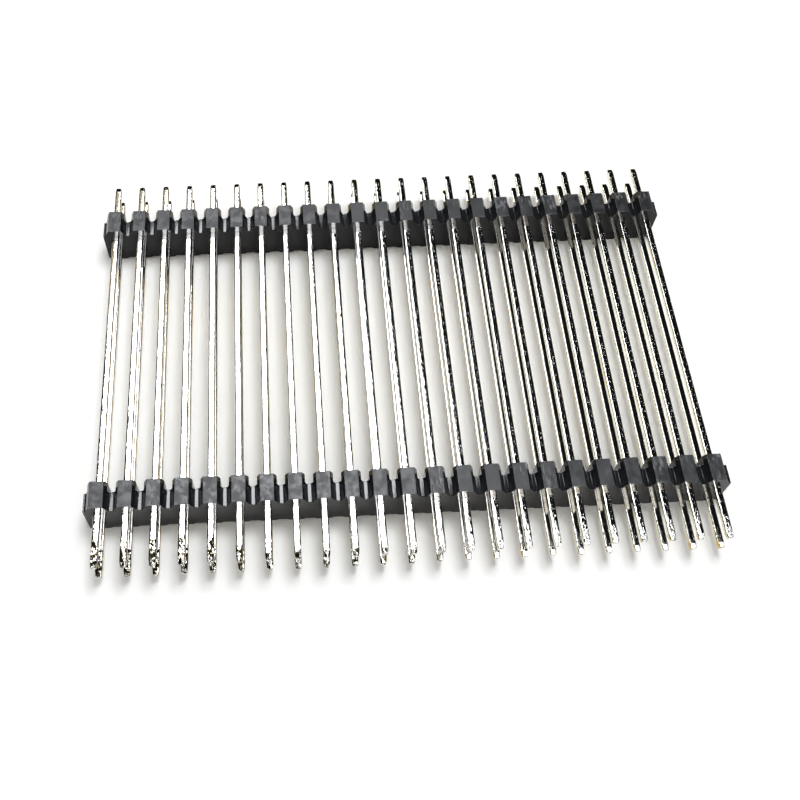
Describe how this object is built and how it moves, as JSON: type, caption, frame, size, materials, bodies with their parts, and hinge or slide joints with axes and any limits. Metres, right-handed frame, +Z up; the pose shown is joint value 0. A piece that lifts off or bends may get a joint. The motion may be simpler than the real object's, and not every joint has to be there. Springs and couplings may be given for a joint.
{
  "type": "double-row stacking pin header",
  "caption": "Double-row male pin header: two black insulator bars, set apart, on two rows of long straight square pins with tapered ends.",
  "frame": {"origin": "centre of the footprint, on the surface that the insulators' lower crests rest on", "axes": "+X along the rows from column 01 to column 23, +Y along the pins from the front tips to the rear tips, +Z up from the lower row to the upper row"},
  "size_m": [0.0584, 0.0414, 0.0051],
  "materials": {
    "insulator": "satin moulded, black",
    "pin": "bright tin plate on brass"
  },
  "bodies": {
    "root": {"front_insulator": "insulator", "rear_insulator": "insulator", "upper_pin_01": "pin", "upper_pin_02": "pin", "upper_pin_03": "pin", "upper_pin_04": "pin", "upper_pin_05": "pin", "upper_pin_06": "pin", "upper_pin_07": "pin", "upper_pin_08": "pin", "upper_pin_09": "pin", "upper_pin_10": "pin", "upper_pin_11": "pin", "upper_pin_12": "pin", "upper_pin_13": "pin", "upper_pin_14": "pin", "upper_pin_15": "pin", "upper_pin_16": "pin", "upper_pin_17": "pin", "upper_pin_18": "pin", "upper_pin_19": "pin", "upper_pin_20": "pin", "upper_pin_21": "pin", "upper_pin_22": "pin", "upper_pin_23": "pin", "lower_pin_01": "pin", "lower_pin_02": "pin", "lower_pin_03": "pin", "lower_pin_04": "pin", "lower_pin_05": "pin", "lower_pin_06": "pin", "lower_pin_07": "pin", "lower_pin_08": "pin", "lower_pin_09": "pin", "lower_pin_10": "pin", "lower_pin_11": "pin", "lower_pin_12": "pin", "lower_pin_13": "pin", "lower_pin_14": "pin", "lower_pin_15": "pin", "lower_pin_16": "pin", "lower_pin_17": "pin", "lower_pin_18": "pin", "lower_pin_19": "pin", "lower_pin_20": "pin", "lower_pin_21": "pin", "lower_pin_22": "pin", "lower_pin_23": "pin"}
  },
  "joints": []
}
